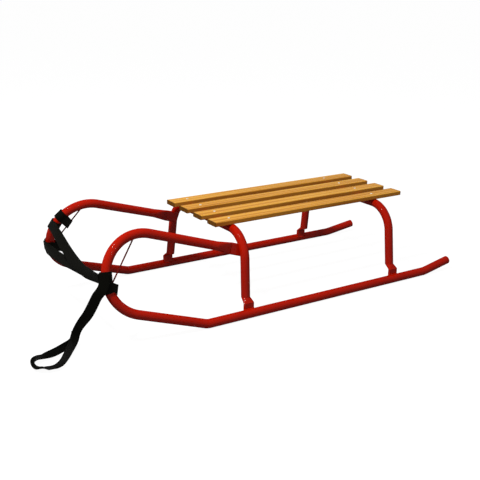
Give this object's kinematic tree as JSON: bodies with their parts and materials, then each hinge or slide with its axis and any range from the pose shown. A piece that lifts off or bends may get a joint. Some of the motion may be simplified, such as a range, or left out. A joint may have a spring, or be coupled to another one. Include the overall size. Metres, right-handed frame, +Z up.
{
  "type": "sled with tubular runners",
  "caption": "Child's sled: bent red tube runners with closed curled noses, two tube bows, long wooden seat boards and a webbing tow strap.",
  "frame": {"origin": "centre of the sled's footprint at the floor, the strap left out", "axes": "+X forward towards the curled noses, +Y to the sled's left, +Z up"},
  "size_m": [1.0406, 0.4014, 0.2126],
  "materials": {
    "red_paint": "gloss",
    "slat_wood": "satin varnish",
    "webbing": "woven, matt"
  },
  "bodies": {
    "root": {"bow_front": "red_paint", "bow_rear": "red_paint", "runner_left": "red_paint", "runner_right": "red_paint", "nose_wire_left": "red_paint", "nose_wire_right": "red_paint", "slat_1": "slat_wood", "slat_2": "slat_wood", "slat_3": "slat_wood", "slat_4": "slat_wood", "wrap_left_upper": "webbing", "wrap_left_lower": "webbing", "wrap_right_upper": "webbing", "wrap_right_middle": "webbing", "wrap_right_lower": "webbing", "cross_strap_upper": "webbing", "cross_strap_lower": "webbing", "tow_lead": "webbing", "hand_loop": "webbing"}
  },
  "joints": []
}
